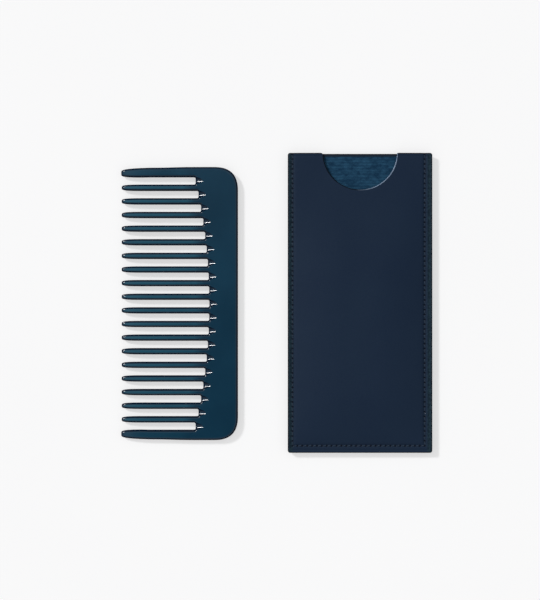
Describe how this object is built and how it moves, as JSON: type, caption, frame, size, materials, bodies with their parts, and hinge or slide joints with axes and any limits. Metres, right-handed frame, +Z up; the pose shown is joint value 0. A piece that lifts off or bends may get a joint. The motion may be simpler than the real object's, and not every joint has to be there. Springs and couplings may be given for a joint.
{
  "type": "beard comb with sleeve",
  "caption": "Wide-tooth pocket beard comb in polished acetate, with the stitched, lined leather sleeve that carries it.",
  "frame": {"origin": "centre of the set's footprint, on the surface that the comb and the sleeve lie on", "axes": "+X from the comb to the sleeve, +Y along both towards the sleeve's mouth, +Z up, out of the sleeve's front"},
  "size_m": [0.131, 0.1262, 0.0064],
  "materials": {
    "comb_acetate": "polished deep blue cellulose acetate",
    "sleeve_leather": "smooth matte navy leather with painted edges",
    "lining_fabric": "ribbed blue woven lining",
    "sewing_thread": "twisted navy polyester thread"
  },
  "bodies": {
    "sleeve": {"front_panel": "sleeve_leather", "back_panel": "sleeve_leather", "front_lining": "lining_fabric", "back_lining": "lining_fabric", "needle_thread": "sewing_thread", "bobbin_thread": "sewing_thread"},
    "comb": {"comb_spine": "comb_acetate", "slim_teeth": "comb_acetate", "end_teeth": "comb_acetate"}
  },
  "joints": [
    {"name": "comb_lift", "type": "slide", "parent": "sleeve", "child": "comb", "axis": [0, 0, 1], "range_m": [0, 0.1]}
  ]
}
